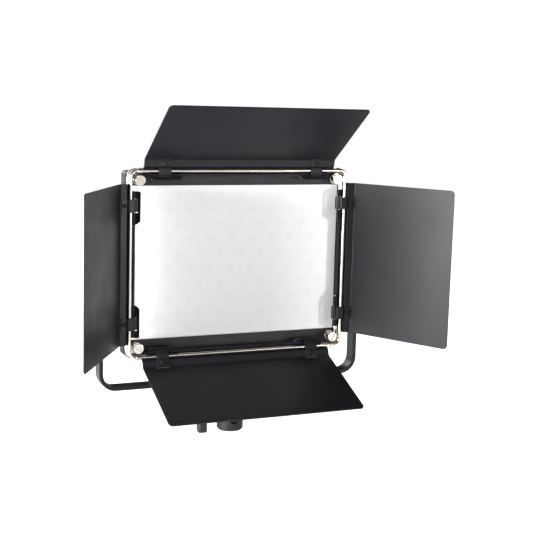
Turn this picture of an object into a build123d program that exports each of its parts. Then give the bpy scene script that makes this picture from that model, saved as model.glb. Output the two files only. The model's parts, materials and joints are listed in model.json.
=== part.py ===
from build123d import *
import math
import os

# LED panel light with four barn doors, on a U-shaped yoke and a stand adapter.
# Millimetres. The origin is the mouth of the stand socket, +Z is up, the light faces -Y
# and +X is to the right of somebody who looks at its front.

# ---- driving dimensions ----
TILT_HEIGHT = 203.0        # tilt axis above the mouth of the socket
HOUSING_HALF_WIDTH = 130.0
HOUSING_TOP = 102.5        # above the tilt axis
HOUSING_BOTTOM = -108.0
FRAME_FRONT = -8.7         # front face of the front frame, from the tilt axis
FRAME_BACK = 1.5
SHELL_FRONT = 4.5
SHELL_BACK = 21.0
WALL = 2.0
WINDOW_HALF_HEIGHT = 87.0  # the part of the diffuser that shows between the rails
SIDE_WALL = 1.5
DIFFUSER_RECESS = 2.5
DIFFUSER_THICK = 3.0
DIFFUSER_HALF_HEIGHT = 88.9

ROD_PLANE = -21.0          # centre plane of the rods that carry the doors
ROD_RADIUS = 2.0
ROD_HALF_WIDTH = 131.0     # between rod centres, halved
ROD_HALF_HEIGHT = 104.5
ROD_BEND = 6.5
COLLAR_END = 13.0          # from the corner of the rod centre lines
SCREW_INSET = 10.4         # thumbscrew axis, from the rod centre lines

SHEET = 1.2                # door blade thickness
FLANGE_OUT = 12.35         # fold of the blade, from the rod centre
BLADE_BEND = 46.6          # degrees between flange and blade
GROOVE_CLEARANCE = 0.08
STRIP_END = 5.4            # inner strip, from the rod centre
STRIP_INSET = 8.0          # the strip is shorter than the blade at each end
TAB_OUTER = 16.0           # tab ends, from the middle of its clip
TAB_INNER = 21.0
TAB_SLANT = 4.0            # the inner end of a tab leans over by this much
TAB_FRONT = -5.5           # front edge of a tab, from the rod centre plane
BLADE_CORNER = 5.0
DOOR_SCREW_OUT = 7.7
CLIP_WIDTH = 14.5
CLIP_THICK = 1.0

# name: (turn about Y from the top, rod distance, blade width, blade length, clip place, flange angle)
DOORS = {
    "top_door": (0, ROD_HALF_HEIGHT, 232.0, 103.0, 92.5, 8.2),
    "bottom_door": (180, ROD_HALF_HEIGHT, 232.0, 103.0, 92.5, 20.5),
    "left_door": (-90, ROD_HALF_WIDTH, 180.0, 134.0, 66.0, 12.4),
    "right_door": (90, ROD_HALF_WIDTH, 180.0, 134.0, 66.0, 15.9),
}

YOKE_HALF_WIDTH = 161.5    # outside face of an arm
YOKE_BAR_BOTTOM = 58.5
YOKE_WIDTH = 16.0
YOKE_THICK = 4.5
YOKE_BEND = 20.0
YOKE_BUSH_RADIUS = 5.0

ADAPTER_RADIUS = 15.6
ADAPTER_TOP = 57.0
SOCKET_RADIUS = 8.05       # takes a 16 mm spigot
SOCKET_DEPTH = 42.0
CLAMP_HEIGHT = 22.0        # axis of the clamp knob
CLAMP_RADIUS = 4.0
SWIVEL_RADIUS = 5.0

STUD_RADIUS = 3.0
RUNNING = 0.06             # radial clearance of a pin that turns
SEAT = 0.02                # clearance of a piece that is fixed in its hole

CONTROL_BACK = 23.5        # rear face of the control plate
DIAL_PLACE = 38.0          # dials, either side of the middle
DIAL_HEIGHT = -14.0
ROCKER_HEIGHT = -16.0
BATTERY_PLACE = 92.0
BATTERY_HALF_WIDTH = 19.5
LED_COLUMNS = 20
LED_ROWS = 10
LED_STEP_X = 12.6
LED_STEP_Z = 17.0

# tilt pivots and their grips
PIVOT_FLANGE = 3.0
SPACER_END = YOKE_HALF_WIDTH - YOKE_THICK - 2.1
PIVOT_SCREW_Y = 2.6
PIVOT_SCREW_Z = 12.5
KNOB_START = YOKE_HALF_WIDTH + 1.7
KNOB_END = KNOB_START + 10.0
STUD_END = KNOB_END - 2.4

# corner brackets and thumbscrews
THUMB_X = ROD_HALF_WIDTH - SCREW_INSET
THUMB_Z = ROD_HALF_HEIGHT - SCREW_INSET
THUMB_STEM = 2.5
INSERT_RADIUS = 3.6
BRACKET_STEP = 8.0         # second arm of a corner bracket, behind the rods
BRACKET_REACH = 21.0       # end of that arm, from the corner
ELBOW_RADIUS = 2.15
EYE_RADIUS = 5.9
ARM_WIDTH = 6.0            # arm from the eye to the rear bend
ARM_LENGTH = 12.0
COLLAR_RADIUS = 3.1
EYE_FRONT = ROD_PLANE + BRACKET_STEP - 1.6
EYE_BACK = EYE_FRONT + 3.2

# inside and back of the housing
LIGHT_BOX_HALF = 122.0
LED_BOARD_FRONT = 6.0
INLET_HEIGHT = -86.0
CONTROL_HALF_WIDTH = 56.0
CONTROL_HALF_HEIGHT = 38.0
SHAFT_RADIUS = 3.0
ROCKER_HALF = (5.6, 9.0)   # half width and half height of the rocker
ROCKER_PIVOT_Y = CONTROL_BACK + 0.5
ROCKER_REST = -8.0         # degrees
ROCKER_PIN_RADIUS = 0.9
ROCKER_PIN_END = 7.2
BATTERY_LOW = -44.0
BATTERY_HIGH = 34.0
PLATE_BACK = SHELL_BACK + 6.0
LATCH_HEIGHT = -33.0


def block(x, y, z):
    """Box between low and high values along each axis."""
    middle = [(low + high) / 2 for low, high in (x, y, z)]
    return Pos(*middle) * Box(x[1] - x[0], y[1] - y[0], z[1] - z[0])


def cylinder_x(radius, low, high, y=0.0, z=0.0):
    return Pos((low + high) / 2, y, z) * Rot(0, 90, 0) * Cylinder(radius, high - low)


def cylinder_y(radius, low, high, x=0.0, z=0.0):
    return Pos(x, (low + high) / 2, z) * Rot(90, 0, 0) * Cylinder(radius, high - low)


def cylinder_z(radius, low, high, x=0.0, y=0.0):
    return Pos(x, y, (low + high) / 2) * Cylinder(radius, high - low)


def ring_x(outer, inner, low, high, y=0.0, z=0.0):
    return cylinder_x(outer, low, high, y, z) - cylinder_x(inner, low - 1, high + 1, y, z)


def ring_y(outer, inner, low, high, x=0.0, z=0.0):
    return cylinder_y(outer, low, high, x, z) - cylinder_y(inner, low - 1, high + 1, x, z)


def ring_z(outer, inner, low, high):
    return cylinder_z(outer, low, high) - cylinder_z(inner, low - 1, high + 1)


def rounded_block(x, y, z, radius, axis):
    """Box whose four edges along one axis are rounded."""
    solid = block(x, y, z)
    return fillet(solid.edges().filter_by(axis), radius)


def hex_z(across_flats, low, high):
    """Hexagonal prism along Z."""
    side = RegularPolygon(across_flats / 2, 6, major_radius=False)
    return Pos(0, 0, low) * extrude(side, high - low)


def group(pieces):
    """Separate solids kept in one node."""
    solids = []
    for piece in pieces:
        solids += list(piece.solids())
    return Compound(solids)


def lifted(shape):
    """From the tilt axis to the part's own frame."""
    return Pos(0, 0, TILT_HEIGHT) * shape


def corners(half_width, half_height):
    """Signs and places of four corners about the tilt axis."""
    return [(sx, sz, sx * half_width, sz * half_height) for sx in (-1, 1) for sz in (-1, 1)]


# ---- stand adapter, fixed to the stand ----
def stand_adapter():
    body = cylinder_z(ADAPTER_RADIUS, 0, ADAPTER_TOP)
    body = chamfer(body.edges().group_by(Axis.Z)[0], 2.0)
    body = chamfer(body.edges().group_by(Axis.Z)[-1], 1.2)
    body += cylinder_x(9.0, -19.0, 0, 0, CLAMP_HEIGHT)
    pocket_floor = -11.0
    pocket_radius = 5.5
    pocket_low = 14.5
    pocket_high = 38.0
    y_span = (-ADAPTER_RADIUS - 1, pocket_floor)
    body -= cylinder_y(pocket_radius, *y_span, 0, pocket_low)
    body -= block((-pocket_radius, pocket_radius), y_span, (pocket_low, pocket_high))
    body += block((-1.6, 1.6), (-13.8, pocket_floor + 0.5), (10.6, 17.0))
    body -= cylinder_z(SOCKET_RADIUS, -1, SOCKET_DEPTH)
    body -= cylinder_x(CLAMP_RADIUS + RUNNING, -25, -SOCKET_RADIUS + 1, 0, CLAMP_HEIGHT)
    body -= cylinder_z(CLAMP_RADIUS + SEAT, SOCKET_DEPTH - 1, ADAPTER_TOP + 1)
    return body


def swivel_bolt():
    head_low = YOKE_BAR_BOTTOM + YOKE_THICK + 2.6
    bolt = cylinder_z(CLAMP_RADIUS, SOCKET_DEPTH + 2, ADAPTER_TOP + 0.5)
    bolt += cylinder_z(SWIVEL_RADIUS, ADAPTER_TOP + 0.1, head_low)
    bolt += chamfer(hex_z(16.0, head_low, head_low + 6.0).edges().group_by(Axis.Z)[-1], 0.6)
    return bolt


def swivel_washers():
    """Nylon washers either side of the yoke and the steel washer under the bolt's head."""
    bar_top = YOKE_BAR_BOTTOM + YOKE_THICK
    inner = SWIVEL_RADIUS + SEAT
    return group([
        ring_z(13.0, inner, ADAPTER_TOP, YOKE_BAR_BOTTOM - 0.05),
        ring_z(9.5, inner, bar_top + 0.05, bar_top + 1.1),
        ring_z(10.5, inner, bar_top + 1.1, bar_top + 2.6),
    ])


# ---- clamp knob of the stand adapter ----
def clamp_knob():
    """T-shaped grip with a round hub."""
    hub = Pos(-26.5, 0, CLAMP_HEIGHT) * Rot(0, -90, 0) * Cone(9.0, 6.5, 11.0)
    bar = rounded_block((-40.0, -31.0), (-6.5, 6.5), (CLAMP_HEIGHT - 24, CLAMP_HEIGHT + 24),
                        5.0, Axis.X)
    bar = fillet(bar.edges().group_by(Axis.X)[0], 1.5)
    knob = hub + bar + cylinder_x(8.0, -42.0, -31.0, 0, CLAMP_HEIGHT)
    for side in (-1, 1):
        for step in range(4):
            groove_z = CLAMP_HEIGHT + side * (12.0 + 3.0 * step)
            knob -= block((-45, -39.2), (-7, 7), (groove_z - 0.6, groove_z + 0.6))
            for face in (-1, 1):
                knob -= Pos(-35.5, face * 6.7, groove_z) * Box(20, 1.2, 1.2)
    return knob - cylinder_x(CLAMP_RADIUS + SEAT, -36, -15, 0, CLAMP_HEIGHT)


def clamp_screw():
    tip = -SOCKET_RADIUS - 0.8
    screw = cylinder_x(CLAMP_RADIUS, -35.9, tip, 0, CLAMP_HEIGHT)
    return chamfer(screw.edges().group_by(Axis.X)[-1], 0.8)


# ---- yoke ----
def yoke():
    """Flat bar bent twice, with round arm ends."""
    half = YOKE_WIDTH / 2
    inner = YOKE_HALF_WIDTH - YOKE_THICK
    bend_top = YOKE_BAR_BOTTOM + YOKE_BEND
    bend_x = YOKE_HALF_WIDTH - YOKE_BEND
    bar_top = YOKE_BAR_BOTTOM + YOKE_THICK
    bar = block((-bend_x, bend_x), (-half, half), (YOKE_BAR_BOTTOM, bar_top))
    for side in (-1, 1):
        x_span = sorted((side * inner, side * YOKE_HALF_WIDTH))
        bend = ring_y(YOKE_BEND, YOKE_BEND - YOKE_THICK, -half, half, side * bend_x, bend_top)
        quarter_x = sorted((side * bend_x, side * (YOKE_HALF_WIDTH + 1)))
        bend &= block(quarter_x, (-half - 1, half + 1), (YOKE_BAR_BOTTOM - 1, bend_top))
        bar += bend
        bar += block(x_span, (-half, half), (bend_top, TILT_HEIGHT))
        bar += cylinder_x(half, *x_span, 0, TILT_HEIGHT)
        bar -= cylinder_x(YOKE_BUSH_RADIUS + SEAT, x_span[0] - 1, x_span[1] + 1, 0, TILT_HEIGHT)
    bar -= cylinder_z(SWIVEL_RADIUS + RUNNING, YOKE_BAR_BOTTOM - 1, bar_top + 1)
    return bar


def yoke_bushes():
    """Plain nylon bushes in the ends of the arms."""
    inner = YOKE_HALF_WIDTH - YOKE_THICK
    return group([
        ring_x(YOKE_BUSH_RADIUS, STUD_RADIUS + RUNNING,
               *sorted((side * inner, side * YOKE_HALF_WIDTH)), 0, TILT_HEIGHT)
        for side in (-1, 1)
    ])


# ---- tilt pivots, on the sides of the housing ----


def pivot_spacers():
    spacers = []
    for side in (-1, 1):
        wall = side * HOUSING_HALF_WIDTH
        flange_x = sorted((wall, wall + side * PIVOT_FLANGE))
        spacer = rounded_block(flange_x, (-8, 10), (-18, 18), 4.0, Axis.X)
        spacer += cylinder_x(9.0, *sorted((wall, side * SPACER_END)))
        spacer -= cylinder_x(STUD_RADIUS + SEAT, *sorted((side * 136, side * (SPACER_END + 1))))
        for z in (-PIVOT_SCREW_Z, PIVOT_SCREW_Z):
            hole = sorted((wall - side, wall + side * 5))
            spacer -= cylinder_x(1.8 + SEAT, *hole, PIVOT_SCREW_Y, z)
        spacers.append(spacer)
    return group(spacers)


def pivot_washers():
    """Rubber friction washers between the spacers and the yoke arms."""
    return group([
        ring_x(9.0, STUD_RADIUS + SEAT, *sorted((side * SPACER_END, side * (SPACER_END + 2.0))))
        for side in (-1, 1)
    ])


def pivot_backing_plates():
    plates = []
    for side in (-1, 1):
        plate = block(sorted((side * 125.0, side * 127.3)), (-2.8, 5.6), (-18, 18))
        for z in (-PIVOT_SCREW_Z, PIVOT_SCREW_Z):
            plate -= cylinder_x(1.8 + SEAT, *sorted((side * 124, side * 129)), PIVOT_SCREW_Y, z)
        plates.append(plate)
    return group(plates)


def pivot_screws():
    screws = []
    for side in (-1, 1):
        face = HOUSING_HALF_WIDTH + PIVOT_FLANGE
        for z in (-PIVOT_SCREW_Z, PIVOT_SCREW_Z):
            shank = cylinder_x(1.8, *sorted((side * 124.6, side * face)), PIVOT_SCREW_Y, z)
            head = cylinder_x(3.2, *sorted((side * face, side * (face + 2.0))), PIVOT_SCREW_Y, z)
            socket = cylinder_x(1.3, *sorted((side * (face + 0.8), side * (face + 3))),
                                PIVOT_SCREW_Y, z)
            screws.append(shank + head - socket)
    return group(screws)


def tilt_knob(side):
    """Six-lobed grip that locks the tilt."""
    boss = 1.6
    grip = KNOB_END - KNOB_START - boss
    outline = Circle(10.0) + PolarLocations(9.4, 6) * Circle(3.6)
    outline = fillet(outline.vertices(), 1.2)
    core = chamfer(extrude(outline, grip).edges().group_by(Axis.Z)[-1], 1.0)
    core += Pos(0, 0, -boss / 2) * Cylinder(7.5, boss)
    core -= Pos(0, 0, grip) * Cylinder(6.5, 1.2)
    knob = Pos(side * (KNOB_START + boss), 0, 0) * Rot(0, side * 90, 0) * core
    bore = sorted((side * (KNOB_START - 1), side * (STUD_END + 0.1)))
    return knob - cylinder_x(STUD_RADIUS + SEAT, *bore)


def tilt_stud(side):
    """Threaded stud and the washer under the grip."""
    stud = cylinder_x(STUD_RADIUS, *sorted((side * 136.2, side * STUD_END)))
    washer_x = sorted((side * (YOKE_HALF_WIDTH + 0.1), side * (KNOB_START - SEAT)))
    return stud + cylinder_x(8.0, *washer_x)


# ---- housing ----
def housing_ring(inset, thickness, y_span):
    """Rectangular tube that follows the housing's outline."""
    radius = max(4.0 - inset, 1.0)
    half = HOUSING_HALF_WIDTH - inset
    z_span = (HOUSING_BOTTOM + inset, HOUSING_TOP - inset)
    outer = rounded_block((-half, half), y_span, z_span, radius, Axis.Y)
    inner = block((-half + thickness, half - thickness), (y_span[0] - 1, y_span[1] + 1),
                  (z_span[0] + thickness, z_span[1] - thickness))
    return outer - inner


def front_frame():
    """Top and bottom rails with thin sides and a tongue for the rear shell."""
    glass_y = FRAME_FRONT + DIFFUSER_RECESS
    half = HOUSING_HALF_WIDTH
    inside = half - SIDE_WALL
    frame = rounded_block((-half, half), (FRAME_FRONT, FRAME_BACK),
                          (HOUSING_BOTTOM, HOUSING_TOP), 4.0, Axis.Y)
    frame -= block((-half - 1, half + 1), (FRAME_FRONT - 1, glass_y),
                   (-WINDOW_HALF_HEIGHT, WINDOW_HALF_HEIGHT))
    frame -= block((-inside, inside), (glass_y, FRAME_BACK + 1),
                   (HOUSING_BOTTOM + WALL, HOUSING_TOP - WALL))
    for side in (-1, 1):
        rib = sorted((side * (DIFFUSER_HALF_HEIGHT + 0.1), side * (DIFFUSER_HALF_HEIGHT + 1.4)))
        frame += block((-inside - 0.5, inside + 0.5), (glass_y - 0.5, FRAME_BACK - 2.5), rib)
    frame += housing_ring(1.0, SIDE_WALL, (FRAME_BACK - 0.5, 9.0))
    for _, _, x, z in corners(THUMB_X, THUMB_Z):
        frame += cylinder_y(INSERT_RADIUS + 1.5, FRAME_FRONT + 0.5, FRAME_BACK, x, z)
        frame -= cylinder_y(INSERT_RADIUS + SEAT, FRAME_FRONT - 1, FRAME_BACK + 1, x, z)
    for side in (-1, 1):
        for z in (-PIVOT_SCREW_Z, PIVOT_SCREW_Z):
            hole = sorted((side * 127, side * 131))
            frame -= cylinder_x(1.8 + SEAT, *hole, PIVOT_SCREW_Y, z)
    return frame


def corner_inserts():
    """Brass threaded inserts for the thumbscrews."""
    return group([
        ring_y(INSERT_RADIUS, THUMB_STEM + SEAT, FRAME_FRONT, FRAME_BACK, x, z)
        for _, _, x, z in corners(THUMB_X, THUMB_Z)
    ])


def diffuser():
    """Opal plate that slides in behind the rails."""
    front = FRAME_FRONT + DIFFUSER_RECESS
    half = HOUSING_HALF_WIDTH - SIDE_WALL - 0.1
    return block((-half, half), (front, front + DIFFUSER_THICK),
                 (-DIFFUSER_HALF_HEIGHT, DIFFUSER_HALF_HEIGHT))


def light_box():
    """White reflector walls between the diffuser and the light board."""
    front = FRAME_FRONT + DIFFUSER_RECESS + DIFFUSER_THICK + 0.1
    outer = block((-LIGHT_BOX_HALF, LIGHT_BOX_HALF), (front, LED_BOARD_FRONT), (-87.5, 87.5))
    return outer - block((-LIGHT_BOX_HALF + 1.5, LIGHT_BOX_HALF - 1.5), (front - 1, 10),
                         (-86.0, 86.0))


def led_board():
    return block((-124, 124), (LED_BOARD_FRONT, LED_BOARD_FRONT + 1.6), (-90, 90))


def leds():
    """Lamps in a staggered grid."""
    lamps = []
    for column in range(LED_COLUMNS):
        for row in range(LED_ROWS):
            if (column + row) % 2:
                continue
            x = (column - (LED_COLUMNS - 1) / 2) * LED_STEP_X
            z = (row - (LED_ROWS - 1) / 2) * LED_STEP_Z
            if abs(x) < LIGHT_BOX_HALF - 4:
                y_span = (LED_BOARD_FRONT - 0.8, LED_BOARD_FRONT)
                lamps.append(block((x - 2.8, x + 2.8), y_span, (z - 1.5, z + 1.5)))
    return group(lamps)


def heat_plate():
    """Aluminium plate that carries the light board, with a row of low fins."""
    plate = block((-124, 124), (LED_BOARD_FRONT + 1.6, LED_BOARD_FRONT + 3.2), (-90, 90))
    for fin in range(7):
        for side in (-1, 1):
            x = side * (66 + 8 * fin)
            plate += block((x - 0.7, x + 0.7), (LED_BOARD_FRONT + 3.1, 13.5), (-80, 80))
    return plate


def rear_shell():
    """Back cover with vents, a window for the controls and screw holes."""
    shell = rounded_block((-HOUSING_HALF_WIDTH, HOUSING_HALF_WIDTH), (SHELL_FRONT, SHELL_BACK),
                          (HOUSING_BOTTOM, HOUSING_TOP), 4.0, Axis.Y)
    shell = chamfer(shell.edges().group_by(Axis.Y)[-1], 1.5)
    half = HOUSING_HALF_WIDTH - 1.0 + 0.05
    shell -= block((-half, half), (SHELL_FRONT - 1, 9.2), (HOUSING_BOTTOM + 0.95, HOUSING_TOP - 0.95))
    shell -= block((-HOUSING_HALF_WIDTH + WALL, HOUSING_HALF_WIDTH - WALL), (9.0, SHELL_BACK - WALL),
                   (HOUSING_BOTTOM + WALL, HOUSING_TOP - WALL))
    shell -= block((-50, 50), (SHELL_BACK - 3, SHELL_BACK + 1), (-34, 34))
    shell -= cylinder_y(5.5 + SEAT, SHELL_BACK - 3, SHELL_BACK + 1, 0, INLET_HEIGHT)
    for slot in range(15):
        x = (slot - 7) * 8.0
        for low in (62.0, -68.0):
            slit = rounded_block((x - 1.6, x + 1.6), (SHELL_BACK - 3, SHELL_BACK + 1),
                                 (low, low + 22), 1.5, Axis.Y)
            shell -= slit
    for x, z in rear_screw_places():
        shell += cylinder_y(4.0, 9.5, SHELL_BACK - 1, x, z)
        shell -= cylinder_y(1.5 + SEAT, 9.4, SHELL_BACK + 1, x, z)
    return shell


def rear_screw_places():
    top, bottom = HOUSING_TOP - 8, HOUSING_BOTTOM + 8
    return [(x, z) for z in (bottom, top) for x in (-120, -40, 40, 120)]


def rear_screws():
    """Cross-head screws that hold the rear shell."""
    screws = []
    for x, z in rear_screw_places():
        head = cylinder_y(2.8, SHELL_BACK, SHELL_BACK + 1.4, x, z)
        head = fillet(head.edges().group_by(Axis.Y)[-1], 0.9)
        screw = head + cylinder_y(1.5, 11.0, SHELL_BACK + 0.1, x, z)
        for turn in (0, 90):
            cross = Pos(x, SHELL_BACK + 1.4, z) * Rot(0, turn, 0) * Box(3.0, 1.6, 0.7)
            screw -= cross
        screws.append(screw)
    return group(screws)


# ---- electronics and controls, on the back ----


def control_plate():
    plate = rounded_block((-CONTROL_HALF_WIDTH, CONTROL_HALF_WIDTH), (SHELL_BACK, CONTROL_BACK),
                          (-CONTROL_HALF_HEIGHT, CONTROL_HALF_HEIGHT), 5.0, Axis.Y)
    plate = chamfer(plate.edges().group_by(Axis.Y)[-1], 0.6)
    through = (SHELL_BACK - 1, CONTROL_BACK + 1)
    plate -= block((-26, 26), through, (6, 30))
    for side in (-1, 1):
        plate -= cylinder_y(SHAFT_RADIUS + 0.5, *through, side * DIAL_PLACE, DIAL_HEIGHT)
    plate -= block((-8.1, 8.1), through, (ROCKER_HEIGHT - 11.1, ROCKER_HEIGHT + 11.1))
    return plate


def display_window():
    """Clear cover of the display."""
    return block((-25.9, 25.9), (SHELL_BACK + 0.9, CONTROL_BACK - 0.2), (6.1, 29.9))


def display_module():
    """Liquid crystal display behind its window."""
    return block((-25, 25), (SHELL_BACK - 3.2, SHELL_BACK + 0.8), (6.5, 29.5))


def control_board():
    return block((-48, 48), (15.4, 16.6), (-33, 33))


def dial_encoders():
    """Rotary encoders on the control board."""
    return group([
        block((x - 6.5, x + 6.5), (16.6, 20.9), (DIAL_HEIGHT - 6.5, DIAL_HEIGHT + 6.5))
        - cylinder_y(SHAFT_RADIUS + RUNNING, 17.5, 23, x, DIAL_HEIGHT)
        for x in (-DIAL_PLACE, DIAL_PLACE)
    ])


def dial_shaft(side):
    return cylinder_y(SHAFT_RADIUS, 17.8, 34.0, side * DIAL_PLACE, DIAL_HEIGHT)


def dial(side):
    """Knurled dial with a pointer line on its face."""
    x = side * DIAL_PLACE
    low, high = CONTROL_BACK + 0.6, CONTROL_BACK + 14.0
    knob = cylinder_y(10.0, low, high, x, DIAL_HEIGHT)
    knob = chamfer(knob.edges().group_by(Axis.Y)[-1], 0.8)
    ribs = 20
    for rib in range(ribs):
        angle = 2 * math.pi * rib / ribs
        knob -= cylinder_y(0.7, low + 2.0, high + 1, x + 10.2 * math.cos(angle),
                           DIAL_HEIGHT + 10.2 * math.sin(angle))
    knob -= block((x - 0.5, x + 0.5), (high - 0.6, high + 1), (DIAL_HEIGHT + 2.5, DIAL_HEIGHT + 8.5))
    return knob - cylinder_y(SHAFT_RADIUS + SEAT, low - 1, 34.1, x, DIAL_HEIGHT)


def switch_frame():
    """Bezel and body of the power switch."""
    half_width, half_height = ROCKER_HALF
    z_low, z_high = ROCKER_HEIGHT - half_height, ROCKER_HEIGHT + half_height
    body = block((-8.0, 8.0), (16.7, CONTROL_BACK + 0.1), (z_low - 2, z_high + 2))
    body += rounded_block((-10.0, 10.0), (CONTROL_BACK, CONTROL_BACK + 1.6),
                          (z_low - 4, z_high + 4), 2.0, Axis.Y)
    body -= block((-half_width - 0.3, half_width + 0.3), (18.2, CONTROL_BACK + 4),
                  (z_low - 0.5, z_high + 0.5))
    pin_end = ROCKER_PIN_END + 0.1
    return body - cylinder_x(ROCKER_PIN_RADIUS + RUNNING, -pin_end, pin_end, ROCKER_PIVOT_Y, ROCKER_HEIGHT)


def power_rocker():
    """Rocker with a shallow V across its face, at rest with its lower half in."""
    half_width, half_height = ROCKER_HALF
    outline = Polyline((-2.2, -half_height), (-4.0, 0), (-2.2, half_height),
                       (2.6, half_height), (1.4, 0), (2.6, -half_height), close=True)
    cap = extrude(make_face(Plane.YZ * outline), half_width, both=True)
    cap += cylinder_x(ROCKER_PIN_RADIUS, -ROCKER_PIN_END, ROCKER_PIN_END)
    return Pos(0, ROCKER_PIVOT_Y, ROCKER_HEIGHT) * Rot(ROCKER_REST, 0, 0) * cap


def driver_board():
    return block((-46, 46), (10.4, 12.0), (-60, 60))


def driver_components():
    """Coil, capacitors and power parts of the driver board, facing the control board."""
    tall = []
    for x, z in ((-30, -50), (-14, -50), (30, -50)):
        tall.append(cylinder_y(5.0, 12.0, 18.2, x, z))
    for x, z in ((10, -50), (-30, 48), (-8, 48), (16, 48)):
        tall.append(block((x - 6, x + 6), (12.0, 17.0), (z - 5, z + 5)))
    return group(tall)


def board_standoffs():
    """Spacers between heat plate, driver board and control board."""
    heat_back = LED_BOARD_FRONT + 3.2
    posts = [cylinder_y(2.5, heat_back, 10.4, x, z) for x in (-42, 42) for z in (-56, 56)]
    posts += [cylinder_y(2.5, 12.0, 15.4, x, z) for x in (-42, 42) for z in (-29, 29)]
    return group(posts)


def dc_inlet():
    """Round socket for the power adapter, with its centre pin."""
    socket = cylinder_y(5.5, 13.0, SHELL_BACK, 0, INLET_HEIGHT)
    socket += cylinder_y(7.5, SHELL_BACK, SHELL_BACK + 1.8, 0, INLET_HEIGHT)
    socket -= cylinder_y(3.2, 14.5, SHELL_BACK + 3, 0, INLET_HEIGHT)
    return socket + cylinder_y(1.0, 14.0, SHELL_BACK + 0.5, 0, INLET_HEIGHT)


def battery_plates():
    """Plates that take camcorder batteries, which slide down under two rails."""
    plates = []
    for side in (-1, 1):
        x = side * BATTERY_PLACE
        half = BATTERY_HALF_WIDTH
        plate = rounded_block((x - half, x + half), (SHELL_BACK, PLATE_BACK),
                              (BATTERY_LOW, BATTERY_HIGH), 3.0, Axis.Y)
        plate -= block((x - half + 3, x + half - 3), (PLATE_BACK - 3.2, PLATE_BACK + 1),
                       (BATTERY_LOW + 16, BATTERY_HIGH + 1))
        for rail in (-1, 1):
            lip = sorted((x + rail * (half - 3.5), x + rail * (half - 1.6)))
            plate += block(lip, (PLATE_BACK - 1.0, PLATE_BACK), (BATTERY_LOW + 22, BATTERY_HIGH - 8))
        plate -= block((x - 7.2, x + 7.2), (SHELL_BACK + 1.5, PLATE_BACK + 1),
                       (LATCH_HEIGHT - 8.2, LATCH_HEIGHT + 8.2))
        plates.append(plate)
    return group(plates)


def battery_contacts():
    """Spring blades that touch the battery."""
    blades = []
    for side in (-1, 1):
        for step in (-1, 0, 1):
            x = side * BATTERY_PLACE + 6.0 * step
            low = BATTERY_LOW + 22.0
            blades.append(block((x - 1.2, x + 1.2), (PLATE_BACK - 3.2, PLATE_BACK - 1.6),
                                (low, low + 9)))
    return group(blades)


def release_latch(side):
    """Sliding catch that frees a battery."""
    x = side * BATTERY_PLACE
    base = rounded_block((x - 7.0, x + 7.0), (SHELL_BACK + 1.7, PLATE_BACK - 0.6),
                         (LATCH_HEIGHT - 4.0, LATCH_HEIGHT + 8.0), 1.0, Axis.Y)
    for step in range(4):
        z = LATCH_HEIGHT - 2.0 + 2.2 * step
        base += block((x - 5.5, x + 5.5), (PLATE_BACK - 0.7, PLATE_BACK + 0.9), (z, z + 1.1))
    return base


def release_springs():
    """Leaf pads that push the catches back up."""
    return group([
        block((side * BATTERY_PLACE - 3, side * BATTERY_PLACE + 3),
              (SHELL_BACK + 1.6, SHELL_BACK + 2.6), (LATCH_HEIGHT - 8.0, LATCH_HEIGHT - 7.4))
        for side in (-1, 1)
    ])


# ---- rods, corner brackets and thumbscrews ----


def door_rods():
    """Four straight rods that end inside the corner brackets."""
    x_end = ROD_HALF_WIDTH - ROD_BEND - 1.5
    z_end = ROD_HALF_HEIGHT - ROD_BEND - 1.5
    rods = []
    for side in (-1, 1):
        rods.append(cylinder_x(ROD_RADIUS, -x_end, x_end, ROD_PLANE, side * ROD_HALF_HEIGHT))
        rods.append(cylinder_z(ROD_RADIUS, -z_end, z_end, side * ROD_HALF_WIDTH, ROD_PLANE))
    return group(rods)


def corner_bracket():
    """Cast bracket: two bends one behind the other, a web and an eye for the thumbscrew."""
    x, z = ROD_HALF_WIDTH, ROD_HALF_HEIGHT
    centre_x, centre_z = x - ROD_BEND, z - ROD_BEND
    rear = ROD_PLANE + BRACKET_STEP
    bracket = cylinder_y(EYE_RADIUS, EYE_FRONT, EYE_BACK, THUMB_X, THUMB_Z)
    arm = block((-ARM_WIDTH / 2, ARM_WIDTH / 2), (EYE_FRONT, EYE_BACK), (0, ARM_LENGTH))
    bracket += Pos(THUMB_X, 0, THUMB_Z) * Rot(0, 45, 0) * arm
    for y, reach in ((ROD_PLANE, COLLAR_END - 0.3), (rear, BRACKET_REACH)):
        path = FilletPolyline((x, y, z - reach), (x, y, z), (x - reach, y, z), radius=ROD_BEND)
        bracket += sweep(Plane(origin=path @ 0, z_dir=path % 0) * Circle(ELBOW_RADIUS), path=path)
    bracket += Pos(x, ROD_PLANE, z) * collar_x(-COLLAR_END, -ROD_BEND - 1)
    bracket += Pos(x, rear, z) * Rot(0, -90, 0) * collar_x(-COLLAR_END, -ROD_BEND - 1)
    web = ring_y(ROD_BEND + 0.9, ROD_BEND - 0.9, ROD_PLANE, rear, centre_x, centre_z)
    bracket += web & block((centre_x, x + 9), (ROD_PLANE, rear), (centre_z, z + 9))
    socket_end = ROD_BEND + 1.4
    bracket -= cylinder_x(ROD_RADIUS + SEAT, x - 30, x - socket_end, ROD_PLANE, z)
    bracket -= cylinder_z(ELBOW_RADIUS + 1, z - 30, z - socket_end, x, ROD_PLANE)
    return bracket - cylinder_y(THUMB_STEM + 0.1, EYE_FRONT - 9, EYE_BACK + 9, THUMB_X, THUMB_Z)


def collar_x(low, high):
    """Thick end of a bracket arm along X, with softened edges."""
    collar = cylinder_x(COLLAR_RADIUS, low, high)
    return fillet(collar.edges().filter_by(GeomType.CIRCLE), 0.5)


def corner_brackets():
    first = corner_bracket()
    right = [first, mirror(first, Plane.XY)]
    return group(right + [mirror(piece, Plane.YZ) for piece in right])


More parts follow.
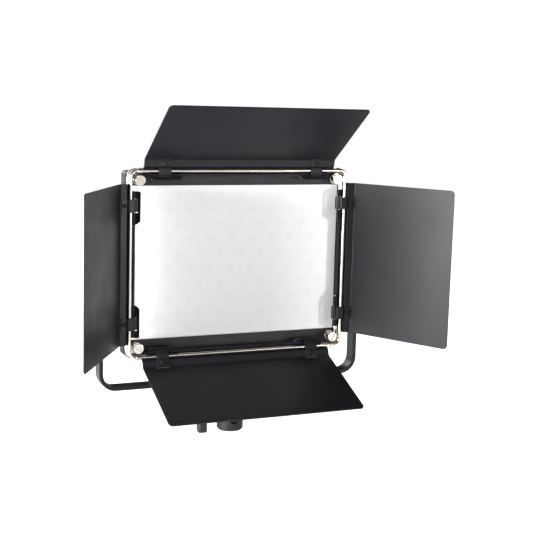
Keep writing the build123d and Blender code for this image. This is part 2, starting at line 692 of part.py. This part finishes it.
def corner_posts():
    """Round spacers between the front frame and the brackets."""
    return group([
        ring_y(5.8, THUMB_STEM + 0.1, EYE_BACK, FRAME_FRONT, x, z)
        for _, _, x, z in corners(THUMB_X, THUMB_Z)
    ])


def thumbscrews():
    """Slotted screws with a round head on a slightly smaller shoulder."""
    head_front, head_back = ROD_PLANE - 2.8, EYE_FRONT
    slot_turns = {(-1, 1): 48, (1, 1): 85, (1, -1): 120, (-1, -1): 25}
    screws = []
    for sx, sz, x, z in corners(THUMB_X, THUMB_Z):
        head = cylinder_y(5.8, head_front, head_back - 3.4, x, z)
        head = fillet(head.edges(), 0.5)
        screw = head + cylinder_y(5.3, head_back - 4.0, head_back, x, z)
        screw += cylinder_y(THUMB_STEM, head_back - 1, FRAME_BACK - 1, x, z)
        turn = slot_turns[(sx, sz)]
        screw -= Pos(x, head_front, z) * Rot(0, turn, 0) * Box(20, 1.2, 2.4)
        screws.append(screw)
    return group(screws)


# ---- barn doors ----
def section_face(points, radii, thickness):
    """Face of a bent strip: its front line in (outwards, forwards), thickened backwards."""
    line = FilletPolyline(*[(0, -v, u) for u, v in points], radius=radii)
    outline = Wire(line.edges()).offset_2d(thickness, side=Side.LEFT)
    return make_face(outline)


def door_blank(width, length):
    """Bent sheet in the top position, its rod on the X axis and its flange upright."""
    bend = math.radians(BLADE_BEND)
    tip = (FLANGE_OUT + length * math.cos(bend), length * math.sin(bend))
    bottom = -ROD_RADIUS - GROOVE_CLEARANCE
    points = [tip, (FLANGE_OUT, 0), (4.2, 0), (2.9, bottom), (-2.9, bottom), (-4.2, 0),
              (-STRIP_END, 0), (-STRIP_END - 2.2, -2.2)]
    face = section_face(points, [2.0, 0.9, 0.9, 0.9, 0.9, 0.5], SHEET)
    sheet = extrude(face, width / 2, both=True)
    across = [edge for edge in sheet.edges() if abs(edge.length - SHEET) < 0.01]
    across.sort(key=lambda edge: edge.center().Z)
    return fillet(across[-2:], BLADE_CORNER)


def door_tab(centre, outer):
    """Tab that leans forwards inside the rod, with a slot for its clip."""
    points = [(-STRIP_END + 1.0, 0), (-STRIP_END, 0), (-8.9, 5.6)]
    face = section_face(points, [0.5], SHEET)
    tab = Pos(centre, 0, 0) * extrude(face, TAB_INNER, both=True)
    profile = Polyline((TAB_OUTER, 2), (TAB_OUTER, TAB_FRONT), (TAB_SLANT - TAB_INNER, TAB_FRONT),
                       (-TAB_INNER, -0.5), (-TAB_INNER, 2), close=True)
    plate = fillet(make_face(profile).vertices().group_by(Axis.Y)[0], 3.0)
    plate = extrude(plate, 12)
    plate = Pos(centre, 0, -STRIP_END + 1.0 - 12) * (plate if outer > 0 else mirror(plate, Plane.YZ))
    return tab & plate


def door_blade(name):
    _, _, width, length, clip_place, _ = DOORS[name]
    sheet = door_blank(width, length)
    half = width / 2
    for side in (-1, 1):
        end_x = sorted((side * (half - STRIP_INSET), side * (half + 1)))
        sheet -= block(end_x, (-9, 9), (-12, -2.3))
        centre = side * clip_place
        tab_x = sorted((centre + side * TAB_OUTER, centre - side * TAB_INNER))
        sheet -= block(tab_x, (-9, 9), (-12, -STRIP_END + 0.5))
        sheet += door_tab(centre, side)
        sheet -= block((centre - CLIP_WIDTH / 2 - 0.6, centre + CLIP_WIDTH / 2 + 0.6),
                       (-3.2, 1.6), (-12, -STRIP_END + 1.4))
        sheet -= block((centre - CLIP_WIDTH / 2 - 0.2, centre + CLIP_WIDTH / 2 + 0.2),
                       (-9, 9), (FLANGE_OUT - 0.15, FLANGE_OUT + 1.3))
        sheet -= cylinder_y(1.5 + SEAT, -9, 9, centre, DOOR_SCREW_OUT)
    return sheet


def door_clips(name):
    """Spring clips that wrap over the rod and back behind the sheet."""
    _, _, _, _, clip_place, _ = DOORS[name]
    over = ROD_RADIUS + 0.06 + CLIP_THICK
    flat = CLIP_THICK + 0.03
    behind = -ROD_RADIUS - GROOVE_CLEARANCE - SHEET - 0.15
    points = [(11.2, flat), (5.0, flat), (2.9, over), (-3.4, over), (-10.4, -1.4),
              (-10.4, behind - CLIP_THICK), (13.4, behind - CLIP_THICK), (13.4, 1.6)]
    face = section_face(points, [0.6, 0.6, 1.6, 1.8, 1.6, 1.3], CLIP_THICK)
    clips = []
    for side in (-1, 1):
        clip = Pos(side * clip_place, 0, 0) * extrude(face, CLIP_WIDTH / 2, both=True)
        clips.append(clip - cylinder_y(1.5 + SEAT, -9, 9, side * clip_place, DOOR_SCREW_OUT))
    return group(clips)


def door_screws(name):
    """Cross-head screws through clip and flange."""
    _, _, _, _, clip_place, _ = DOORS[name]
    face = -CLIP_THICK - 0.03
    screws = []
    for side in (-1, 1):
        x = side * clip_place
        head = cylinder_y(2.3, face - 1.6, face, x, DOOR_SCREW_OUT)
        head = fillet(head.edges().group_by(Axis.Y)[0], 1.0)
        screw = head + cylinder_y(1.5, face - 0.2, 5.2, x, DOOR_SCREW_OUT)
        for turn in (35, 125):
            screw -= Pos(x, face - 1.6, DOOR_SCREW_OUT) * Rot(0, turn, 0) * Box(3.2, 1.8, 0.7)
        screws.append(screw)
    return group(screws)


def placed_on_door(name, shape):
    """From the top position on the X axis to a door's place and angle at rest."""
    turn, distance, _, _, _, flange_angle = DOORS[name]
    place = Rot(0, turn, 0) * Pos(0, ROD_PLANE, distance) * Rot(flange_angle, 0, 0)
    return lifted(place * shape)


def all_nodes():
    nodes = {
        "stand_adapter": stand_adapter(),
        "swivel_bolt": swivel_bolt(),
        "swivel_washers": swivel_washers(),
        "clamp_knob": clamp_knob(),
        "clamp_screw": clamp_screw(),
        "yoke": yoke(),
        "yoke_bushes": yoke_bushes(),
    }
    on_panel = {
        "pivot_spacers": pivot_spacers(),
        "pivot_washers": pivot_washers(),
        "pivot_backing_plates": pivot_backing_plates(),
        "pivot_screws": pivot_screws(),
        "tilt_knob_left": tilt_knob(-1),
        "tilt_knob_right": tilt_knob(1),
        "tilt_stud_left": tilt_stud(-1),
        "tilt_stud_right": tilt_stud(1),
        "front_frame": front_frame(),
        "corner_inserts": corner_inserts(),
        "diffuser": diffuser(),
        "light_box": light_box(),
        "led_board": led_board(),
        "leds": leds(),
        "heat_plate": heat_plate(),
        "rear_shell": rear_shell(),
        "rear_screws": rear_screws(),
        "control_plate": control_plate(),
        "display_window": display_window(),
        "display_module": display_module(),
        "control_board": control_board(),
        "dial_encoders": dial_encoders(),
        "brightness_shaft": dial_shaft(-1),
        "colour_shaft": dial_shaft(1),
        "brightness_dial": dial(-1),
        "colour_dial": dial(1),
        "switch_frame": switch_frame(),
        "power_rocker": power_rocker(),
        "driver_board": driver_board(),
        "driver_components": driver_components(),
        "board_standoffs": board_standoffs(),
        "dc_inlet": dc_inlet(),
        "battery_plates": battery_plates(),
        "battery_contacts": battery_contacts(),
        "release_latch_left": release_latch(-1),
        "release_latch_right": release_latch(1),
        "release_springs": release_springs(),
        "door_rods": door_rods(),
        "corner_brackets": corner_brackets(),
        "corner_posts": corner_posts(),
        "thumbscrews": thumbscrews(),
    }
    nodes.update({name: lifted(shape) for name, shape in on_panel.items()})
    for name in DOORS:
        nodes[name + "_blade"] = placed_on_door(name, door_blade(name))
        nodes[name + "_clips"] = placed_on_door(name, door_clips(name))
        nodes[name + "_screws"] = placed_on_door(name, door_screws(name))
    return nodes


os.makedirs("parts", exist_ok=True)
for node_name, node_shape in all_nodes().items():
    export_step(node_shape, "parts/" + node_name + ".step")
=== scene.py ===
"""Looks of the LED panel light: materials, small surface details, floor, light and camera."""

import json
import math

import bpy
from mathutils import Matrix, Vector


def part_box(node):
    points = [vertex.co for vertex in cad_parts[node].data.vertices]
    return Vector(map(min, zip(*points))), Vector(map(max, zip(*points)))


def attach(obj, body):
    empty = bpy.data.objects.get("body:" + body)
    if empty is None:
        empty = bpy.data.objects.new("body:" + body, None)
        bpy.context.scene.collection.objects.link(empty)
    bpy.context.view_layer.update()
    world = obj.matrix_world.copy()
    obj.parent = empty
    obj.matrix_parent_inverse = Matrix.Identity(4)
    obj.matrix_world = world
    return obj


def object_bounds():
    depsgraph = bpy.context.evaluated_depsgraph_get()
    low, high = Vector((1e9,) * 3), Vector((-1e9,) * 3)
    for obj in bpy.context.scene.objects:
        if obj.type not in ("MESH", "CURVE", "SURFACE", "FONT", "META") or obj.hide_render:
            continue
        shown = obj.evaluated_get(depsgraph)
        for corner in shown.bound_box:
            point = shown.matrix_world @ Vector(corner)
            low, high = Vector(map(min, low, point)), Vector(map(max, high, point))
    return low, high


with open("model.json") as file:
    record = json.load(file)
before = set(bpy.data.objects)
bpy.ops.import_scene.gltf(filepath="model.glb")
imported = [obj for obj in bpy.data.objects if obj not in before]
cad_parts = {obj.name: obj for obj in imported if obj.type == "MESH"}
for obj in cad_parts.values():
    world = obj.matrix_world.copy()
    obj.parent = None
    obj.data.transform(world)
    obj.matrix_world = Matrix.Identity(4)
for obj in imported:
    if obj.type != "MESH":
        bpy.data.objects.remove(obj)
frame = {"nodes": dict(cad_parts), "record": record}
cad_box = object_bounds()
joint_places = {joint["name"]: Vector(joint.get("pos_m", (0, 0, 0)))
                for joint in frame["record"]["behaviour"]["joints"]}
PIVOT = Vector((0, 0, joint_places["panel_tilt"].z))
MM = 0.001

# painted marks round the dials
TICK_RING = 12.8 * MM          # from the dial's axis to the middle of a tick
TICK_COUNT = 11
TICK_TURN = 30                 # degrees from one tick to the next
TICK_HALF_LENGTHS = (0.8 * MM, 1.2 * MM)
BOX_FACES = ((0, 1, 3, 2), (4, 6, 7, 5), (0, 4, 5, 1), (2, 3, 7, 6), (0, 2, 6, 4), (1, 5, 7, 3))

# lamps behind the opal sheet
LAMP_WIDTH, LAMP_HEIGHT = 5.6 * MM, 3.0 * MM
LAMP_COLUMNS, LAMP_ROWS = 18, 10

# floor and camera, in metres and degrees
FLOOR_RADIUS = 40
FLOOR_GAP = 0.0002
CAMERA_AZIMUTH, CAMERA_ELEVATION, CAMERA_ROLL = -23.58, 8.42, 1.55
CAMERA_DISTANCE = 1.336
CAMERA_AIM = PIVOT + Vector((38.2, -9.3, -8.5)) * MM
LENS, SENSOR_WIDTH = 77.07, 36

# each softbox: its place, width and height in metres, and power in watts
SOFTBOXES = {
    "left_box": ((-1.98, -0.6, 0.2), 0.8, 0.6, 175),
    "right_box": ((1.9, -0.9, 0.7), 0.9, 1.4, 4),
    "top_box": ((0.1, 0.2, 2.2), 1.6, 1.6, 5),
    "front_fill": ((-0.9, -2.6, 1.3), 1.4, 1.0, 2),
    "back_box": ((-0.8, 2.3, 1.1), 1.6, 1.2, 45),
    "right_lamp": ((1.4, -2.07, 0.27), 0.13, 0.13, 24),
}


# ---- material nodes ----
class Surface:
    """One principled material, with short calls for the nodes that feed it."""

    def __init__(self, name, colour, roughness, metallic=0.0, specular=0.5):
        self.material = bpy.data.materials.new(name)
        self.material.use_nodes = True
        self.tree = self.material.node_tree
        self.shader = self.tree.nodes["Principled BSDF"]
        self.set("Base Color", (*colour, 1.0))
        self.set("Roughness", roughness)
        self.set("Metallic", metallic)
        self.set("Specular IOR Level", specular)
        self.place = self.add("ShaderNodeTexCoord").outputs["Object"]

    def add(self, kind, **settings):
        node = self.tree.nodes.new(kind)
        for key, value in settings.items():
            setattr(node, key, value)
        return node

    def set(self, socket, value):
        self.shader.inputs[socket].default_value = value

    def link(self, output, target):
        self.tree.links.new(output, target)

    def stretched(self, stretch):
        """Object coordinates multiplied by a vector."""
        node = self.add("ShaderNodeVectorMath", operation="MULTIPLY")
        self.link(self.place, node.inputs[0])
        node.inputs[1].default_value = stretch
        return node.outputs[0]

    def noise(self, size, detail=3.0, stretch=(1, 1, 1)):
        """Noise with features of that size in metres, between about 0.3 and 0.7."""
        node = self.add("ShaderNodeTexNoise")
        self.link(self.stretched(stretch), node.inputs["Vector"])
        node.inputs["Scale"].default_value = 1.0 / size
        node.inputs["Detail"].default_value = detail
        return node.outputs["Fac"]

    def cells(self, size, stretch=(1, 1, 1)):
        """Distance to the middle of cells of about that size in metres."""
        node = self.add("ShaderNodeTexVoronoi")
        self.link(self.stretched(stretch), node.inputs["Vector"])
        node.inputs["Scale"].default_value = 1.0 / size
        return node.outputs["Distance"]

    def math(self, operation, first, second=None):
        """One operation on numbers or on the outputs of other nodes."""
        node = self.add("ShaderNodeMath", operation=operation)
        for socket, value in zip(node.inputs, (first, second)):
            if isinstance(value, (int, float)):
                socket.default_value = value
            elif value is not None:
                self.link(value, socket)
        return node.outputs[0]

    def spread(self, value, low, high, out_low, out_high):
        """Value mapped from low..high to out_low..out_high, and clamped."""
        node = self.add("ShaderNodeMapRange")
        self.link(value, node.inputs["Value"])
        for socket, number in zip(("From Min", "From Max", "To Min", "To Max"),
                                  (low, high, out_low, out_high)):
            node.inputs[socket].default_value = number
        return node.outputs["Result"]

    def tint(self, factor, colour):
        """Moves the base colour towards another where factor is high."""
        node = self.add("ShaderNodeMix", data_type="RGBA")
        base = self.shader.inputs["Base Color"]
        if base.is_linked:
            self.link(base.links[0].from_socket, node.inputs["A"])
        else:
            node.inputs["A"].default_value = base.default_value
        node.inputs["B"].default_value = (*colour, 1.0)
        self.link(factor, node.inputs["Factor"])
        self.link(node.outputs["Result"], base)

    def vary_roughness(self, value, low, high):
        """Roughness that follows a noise, from low to high."""
        self.link(self.spread(value, 0.3, 0.7, low, high), self.shader.inputs["Roughness"])

    def edges(self, radius):
        """1 along edges and 0 on flat stretches."""
        bevel = self.add("ShaderNodeBevel", samples=6)
        bevel.inputs["Radius"].default_value = radius
        dot = self.add("ShaderNodeVectorMath", operation="DOT_PRODUCT")
        self.link(bevel.outputs["Normal"], dot.inputs[0])
        self.link(self.add("ShaderNodeNewGeometry").outputs["Normal"], dot.inputs[1])
        return self.spread(dot.outputs["Value"], 0.80, 0.99, 1.0, 0.0)

    def painted_cavity_shade(self, reach):
        """Painted-shade mask from ambient occlusion: 1 deep in slots and corners of that size in metres,
        and 0 where open.
        """
        occlusion = self.add("ShaderNodeAmbientOcclusion", samples=8, only_local=True)
        occlusion.inputs["Distance"].default_value = reach
        return self.spread(occlusion.outputs["AO"], 0.35, 0.75, 1.0, 0.0)

    def bump(self, height, depth, strength=1.0, rounding=0.0):
        """Relief of that depth in metres, with the edges rounded in the shading."""
        node = self.add("ShaderNodeBump")
        node.inputs["Distance"].default_value = depth
        node.inputs["Strength"].default_value = strength
        self.link(height, node.inputs["Height"])
        if rounding:
            bevel = self.add("ShaderNodeBevel", samples=6)
            bevel.inputs["Radius"].default_value = rounding
            self.link(bevel.outputs["Normal"], node.inputs["Normal"])
        self.link(node.outputs["Normal"], self.shader.inputs["Normal"])


def powder_coat(name, colour, roughness):
    """Fine-grained satin coating, with bare edges here and there."""
    coat = Surface(name, colour, roughness, specular=0.16)
    broad = coat.noise(45 * MM, 4)
    grain = coat.noise(0.55 * MM, 2)
    coat.vary_roughness(broad, roughness - 0.05, roughness + 0.06)
    coat.tint(coat.spread(grain, 0.45, 0.75, 0.0, 0.5), [1.9 * part for part in colour])
    edges = coat.edges(0.35 * MM)
    patches = coat.spread(coat.noise(9 * MM, 5), 0.5, 0.68, 0, 0.55)
    worn = coat.math("MULTIPLY", edges, patches)
    coat.tint(worn, (0.16, 0.155, 0.15))
    coat.bump(grain, 0.05 * MM, 0.5, rounding=0.4 * MM)
    return coat.material


def moulded_plastic(name, colour, roughness, grain_size, depth):
    """Black plastic with a spark-eroded grain and rubbed edges."""
    shell = Surface(name, colour, roughness, specular=0.25)
    grain = shell.cells(grain_size)
    shell.vary_roughness(shell.noise(30 * MM, 5), roughness - 0.07, roughness + 0.09)
    shell.tint(shell.spread(shell.noise(14 * MM, 6), 0.45, 0.8, 0, 0.5), [1.5 * part for part in colour])
    rubbed = shell.math("MULTIPLY", shell.edges(0.5 * MM), shell.noise(5 * MM, 3))
    shell.tint(rubbed, [2.6 * part for part in colour])
    shell.bump(grain, depth, 0.6, rounding=0.5 * MM)
    return shell.material


def plated(name, colour, roughness, streaks=(1, 1, 1)):
    """Bare or plated metal with fine marks, drawn out along an axis where streaks is small, and painted
    shade darkening its slots and corners.
    """
    metal = Surface(name, colour, roughness, metallic=1.0)
    marks = metal.noise(0.8 * MM, 2, stretch=streaks)
    metal.vary_roughness(metal.noise(20 * MM, 3), roughness - 0.03, roughness + 0.05)
    tarnish = metal.spread(metal.noise(24 * MM, 4), 0.5, 0.8, 0, 0.3)
    metal.tint(tarnish, [0.55 * part for part in colour])
    # painted shade: slots and corners darkened nearly to black where the ambient occlusion is deep
    metal.tint(metal.painted_cavity_shade(1.2 * MM), [0.08 * part for part in colour])
    metal.bump(marks, 0.012 * MM, 0.5, rounding=0.25 * MM)
    return metal.material


def rubber(name):
    """Dull black rubber with a fine grain."""
    soft = Surface(name, (0.018, 0.018, 0.018), 0.8, specular=0.25)
    soft.vary_roughness(soft.noise(4 * MM, 4), 0.7, 0.9)
    soft.bump(soft.noise(0.4 * MM, 2), 0.04 * MM, 0.6, rounding=0.3 * MM)
    return soft.material


def plain_plastic(name, colour, roughness):
    """Light plastic that shows a little dirt in patches."""
    piece = Surface(name, colour, roughness)
    piece.vary_roughness(piece.noise(8 * MM, 4), roughness - 0.08, roughness + 0.1)
    piece.tint(piece.spread(piece.noise(20 * MM, 6), 0.5, 0.85, 0, 0.5), [0.85 * part for part in colour])
    piece.bump(piece.noise(0.7 * MM, 2), 0.02 * MM, 0.4, rounding=0.3 * MM)
    return piece.material


def circuit_board(name, colour):
    """Solder mask with faint tracks under it."""
    board = Surface(name, colour, 0.35)
    tracks = board.cells(5 * MM, stretch=(1, 1, 2.5))
    board.tint(board.spread(tracks, 0.1, 0.16, 0.45, 0), [min(1.0, 1.5 * part) for part in colour])
    board.vary_roughness(board.noise(9 * MM, 3), 0.28, 0.42)
    board.bump(tracks, 0.02 * MM, 0.3)
    return board.material


def opal(name):
    """Glossy opal sheet with the staggered lamps showing faintly through it."""
    low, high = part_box("leds")
    step_x = (high[0] - low[0] - LAMP_WIDTH) / (LAMP_COLUMNS - 1)
    step_z = (high[2] - low[2] - LAMP_HEIGHT) / (LAMP_ROWS - 1)
    sheet = Surface(name, (0.74, 0.74, 0.76), 0.2, specular=0.35)
    parts = sheet.add("ShaderNodeSeparateXYZ")
    sheet.link(sheet.place, parts.inputs[0])
    across = sheet.math("PINGPONG", sheet.math("DIVIDE", sheet.math(
        "SUBTRACT", parts.outputs["X"], low[0] + LAMP_WIDTH / 2), step_x), 1.0)
    upward = sheet.math("PINGPONG", sheet.math("DIVIDE", sheet.math(
        "SUBTRACT", parts.outputs["Z"], low[2] + LAMP_HEIGHT / 2), step_z), 1.0)
    nearest = None
    # both lattices of the staggered grid, one on even places and one on odd places
    for first, second in ((across, upward), (sheet.math("SUBTRACT", 1.0, across),
                                             sheet.math("SUBTRACT", 1.0, upward))):
        side = sheet.math("POWER", sheet.math("MULTIPLY", first, step_x), 2.0)
        height = sheet.math("POWER", sheet.math("MULTIPLY", second, step_z), 2.0)
        distance = sheet.math("SQRT", sheet.math("ADD", side, height))
        nearest = distance if nearest is None else sheet.math("MINIMUM", nearest, distance)
    lamp = sheet.spread(nearest, 1.0 * MM, 5.5 * MM, 0.3, 0.0)
    sheet.tint(lamp, (0.62, 0.6, 0.67))
    sheet.tint(sheet.spread(sheet.noise(60 * MM, 4), 0.45, 0.8, 0, 0.4), (0.7, 0.7, 0.715))
    sheet.vary_roughness(sheet.noise(25 * MM, 5), 0.14, 0.22)
    sheet.bump(sheet.noise(7 * MM, 1), 0.01 * MM, 0.2)
    return sheet.material


def clear_window(name):
    """Clear acrylic with faint smears."""
    pane = Surface(name, (0.9, 0.93, 0.92), 0.06)
    pane.set("Transmission Weight", 0.9)
    pane.set("IOR", 1.49)
    pane.vary_roughness(pane.noise(12 * MM, 5), 0.03, 0.1)
    return pane.material


def lit_crystal(name):
    """Grey-green display, switched off, with faint bands across and upward."""
    display = Surface(name, (0.2, 0.235, 0.2), 0.25)
    across = display.noise(0.9 * MM, 0, (1, 0, 0))
    upward = display.noise(0.9 * MM, 0, (0, 0, 1))
    grid = display.math("MAXIMUM", across, upward)
    display.tint(display.spread(grid, 0.5, 0.7, 0, 0.35), (0.15, 0.18, 0.155))
    display.vary_roughness(display.noise(10 * MM, 3), 0.2, 0.3)
    return display.material


FINISHES = {
    "powder_black": powder_coat("powder_black", (0.0076, 0.0069, 0.009), 0.38),
    "cast_black": powder_coat("cast_black", (0.012, 0.012, 0.013), 0.5),
    "black_steel": powder_coat("black_steel", (0.009, 0.009, 0.0095), 0.36),
    "nickel": plated("nickel", (0.57, 0.53, 0.475), 0.22),
    "steel": plated("steel", (0.58, 0.58, 0.59), 0.28),
    "brass": plated("brass", (0.74, 0.55, 0.27), 0.3),
    "aluminium": plated("aluminium", (0.72, 0.73, 0.74), 0.35, (0.1, 1, 1)),
    "knob_plastic": moulded_plastic("knob_plastic", (0.011, 0.011, 0.012), 0.5, 0.5 * MM, 0.03 * MM),
    "shell_plastic": moulded_plastic("shell_plastic", (0.013, 0.013, 0.0145), 0.52, 0.8 * MM, 0.04 * MM),
    "gloss_black": moulded_plastic("gloss_black", (0.008, 0.008, 0.009), 0.2, 4 * MM, 0.005 * MM),
    "component": moulded_plastic("component", (0.03, 0.03, 0.034), 0.45, 1 * MM, 0.02 * MM),
    "rubber_black": rubber("rubber_black"),
    "nylon": plain_plastic("nylon", (0.7, 0.69, 0.64), 0.45),
    "white_plastic": plain_plastic("white_plastic", (0.82, 0.82, 0.82), 0.5),
    "led_yellow": plain_plastic("led_yellow", (0.85, 0.7, 0.22), 0.3),
    "board_white": circuit_board("board_white", (0.8, 0.81, 0.81)),
    "board_green": circuit_board("board_green", (0.03, 0.16, 0.06)),
    "opal": opal("opal"),
    "window_clear": clear_window("window_clear"),
    "display_grey": lit_crystal("display_grey"),
}

for subpart in frame["record"]["subparts"]:
    node = frame["nodes"][subpart["node"]]
    node.data.materials.clear()
    node.data.materials.append(FINISHES[subpart["material_slot"]])


# ---- printed marks on the back ----
def painted_bars(name, body, bars):
    """Thin painted bars, each a centre, a half size and a turn about the Y axis."""
    corners, faces = [], []
    for centre, half, turn in bars:
        spin = Matrix.Rotation(turn, 3, "Y")
        first = len(corners)
        for x in (-half[0], half[0]):
            for y in (-half[1], half[1]):
                for z in (-half[2], half[2]):
                    corners.append(Vector(centre) + spin @ Vector((x, y, z)))
        for face in BOX_FACES:
            faces.append([first + index for index in face])
    mesh = bpy.data.meshes.new(name)
    mesh.from_pydata(corners, [], faces)
    mesh.materials.append(FINISHES["white_plastic"])
    piece = bpy.data.objects.new(name, mesh)
    bpy.context.collection.objects.link(piece)
    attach(piece, body)


def dial_marks(dial_name):
    """Eleven ticks round a dial on the plate, and the line on the dial itself."""
    low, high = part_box(dial_name + "_dial")
    x, z = (low[0] + high[0]) / 2, (low[2] + high[2]) / 2
    plate_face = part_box("control_plate")[1][1]
    middle = TICK_COUNT // 2
    ticks = []
    for step in range(TICK_COUNT):
        turn = math.radians(TICK_TURN * (step - middle))
        half_length = TICK_HALF_LENGTHS[step % middle == 0]
        centre = (x + TICK_RING * math.sin(turn), plate_face + 0.02 * MM, z + TICK_RING * math.cos(turn))
        ticks.append((centre, (0.25 * MM, 0.06 * MM, half_length), turn))
    painted_bars(dial_name + "_ticks", "panel", ticks)
    line = ((x, high[1] - 0.5 * MM, z + 5.5 * MM), (0.4 * MM, 0.08 * MM, 2.8 * MM), 0.0)
    painted_bars(dial_name + "_line", dial_name + "_dial", [line])


for dial_name in ("brightness", "colour"):
    dial_marks(dial_name)


# ---- floor, light and camera ----
def pale_floor():
    """Wide white floor just under the object."""
    bpy.ops.mesh.primitive_circle_add(vertices=96, radius=FLOOR_RADIUS, fill_type="NGON")
    floor = bpy.context.object
    floor.name = "floor"
    floor.location.z = cad_box[0][2] - FLOOR_GAP
    paint = Surface("floor_paint", (0.86, 0.86, 0.86), 0.9, specular=0.1)
    paint.vary_roughness(paint.noise(0.3, 3), 0.85, 0.95)
    paint.set("Emission Color", (1, 1, 1, 1))
    paint.set("Emission Strength", 0.97)
    floor.data.materials.append(paint.material)


def studio_world():
    """White behind the object, and a dim room for what reflects in it."""
    world = bpy.data.worlds.new("studio")
    bpy.context.scene.world = world
    world.use_nodes = True
    nodes, links = world.node_tree.nodes, world.node_tree.links
    background = nodes["Background"]
    background.inputs["Color"].default_value = (1, 1, 1, 1)
    path = nodes.new("ShaderNodeLightPath")
    strength = nodes.new("ShaderNodeMapRange")
    strength.inputs["To Min"].default_value = 0.05
    strength.inputs["To Max"].default_value = 1.05
    links.new(path.outputs["Is Camera Ray"], strength.inputs["Value"])
    links.new(strength.outputs["Result"], background.inputs["Strength"])


def softbox(name, place, width, height, power):
    """Rectangular light that faces the tilt axis."""
    data = bpy.data.lights.new(name, "AREA")
    data.shape = "RECTANGLE"
    data.size, data.size_y = width, height
    data.energy = power
    lamp = bpy.data.objects.new(name, data)
    bpy.context.collection.objects.link(lamp)
    lamp.location = place
    lamp.rotation_mode = "QUATERNION"
    lamp.rotation_quaternion = (PIVOT - Vector(place)).to_track_quat("-Z", "Y")


def photo_camera():
    """Long lens, from the left of the light and a little above it, with a slight roll."""
    azimuth, elevation = math.radians(CAMERA_AZIMUTH), math.radians(CAMERA_ELEVATION)
    back = Vector((math.sin(azimuth) * math.cos(elevation),
                   -math.cos(azimuth) * math.cos(elevation), math.sin(elevation)))
    data = bpy.data.cameras.new("camera")
    data.sensor_width = SENSOR_WIDTH
    data.lens = LENS
    camera = bpy.data.objects.new("camera", data)
    bpy.context.collection.objects.link(camera)
    roll = Matrix.Rotation(math.radians(CAMERA_ROLL), 3, "Z")
    turn = (-back).to_track_quat("-Z", "Y").to_matrix() @ roll
    camera.matrix_world = Matrix.Translation(CAMERA_AIM + back * CAMERA_DISTANCE) @ turn.to_4x4()
    bpy.context.scene.camera = camera


pale_floor()
studio_world()
for name, (place, width, height, power) in SOFTBOXES.items():
    softbox(name, place, width, height, power)
photo_camera()
bpy.context.scene.view_settings.view_transform = "Standard"
